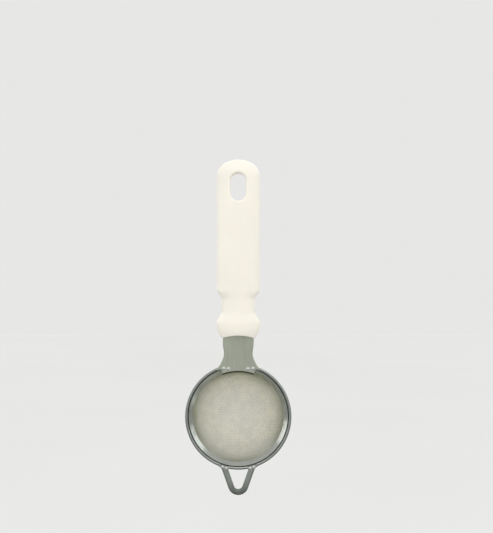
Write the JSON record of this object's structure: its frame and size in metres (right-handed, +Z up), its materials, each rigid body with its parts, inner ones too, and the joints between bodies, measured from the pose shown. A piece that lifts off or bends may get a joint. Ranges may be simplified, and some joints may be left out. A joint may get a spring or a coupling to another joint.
{
  "type": "tea strainer",
  "caption": "Hand-held tea strainer with a round woven wire bowl in a steel rim, a moulded handle with a hanging slot, and a rest loop that bridges a cup.",
  "frame": {"origin": "middle of the hanging slot, on the mid plane of the handle and of the neck plate", "axes": "+Z up along the handle as the strainer hangs, -Y out of the open mouth of the bowl, X across the handle"},
  "size_m": [0.0604, 0.0302, 0.19],
  "materials": {
    "handle_plastic": "white moulded plastic, satin gloss",
    "stamped_steel": "satin stamped stainless steel",
    "rim_steel": "satin drawn stainless steel",
    "clamp_steel": "bright rolled stainless steel",
    "wire_cloth": "fine plain-woven stainless wire",
    "loop_steel": "tumbled stainless steel bar"
  },
  "bodies": {
    "root": {"handle": "handle_plastic", "neck_plate": "stamped_steel", "rim_ring": "rim_steel", "clamp_ring": "clamp_steel", "mesh_bowl": "wire_cloth", "rest_loop": "loop_steel"}
  },
  "joints": []
}
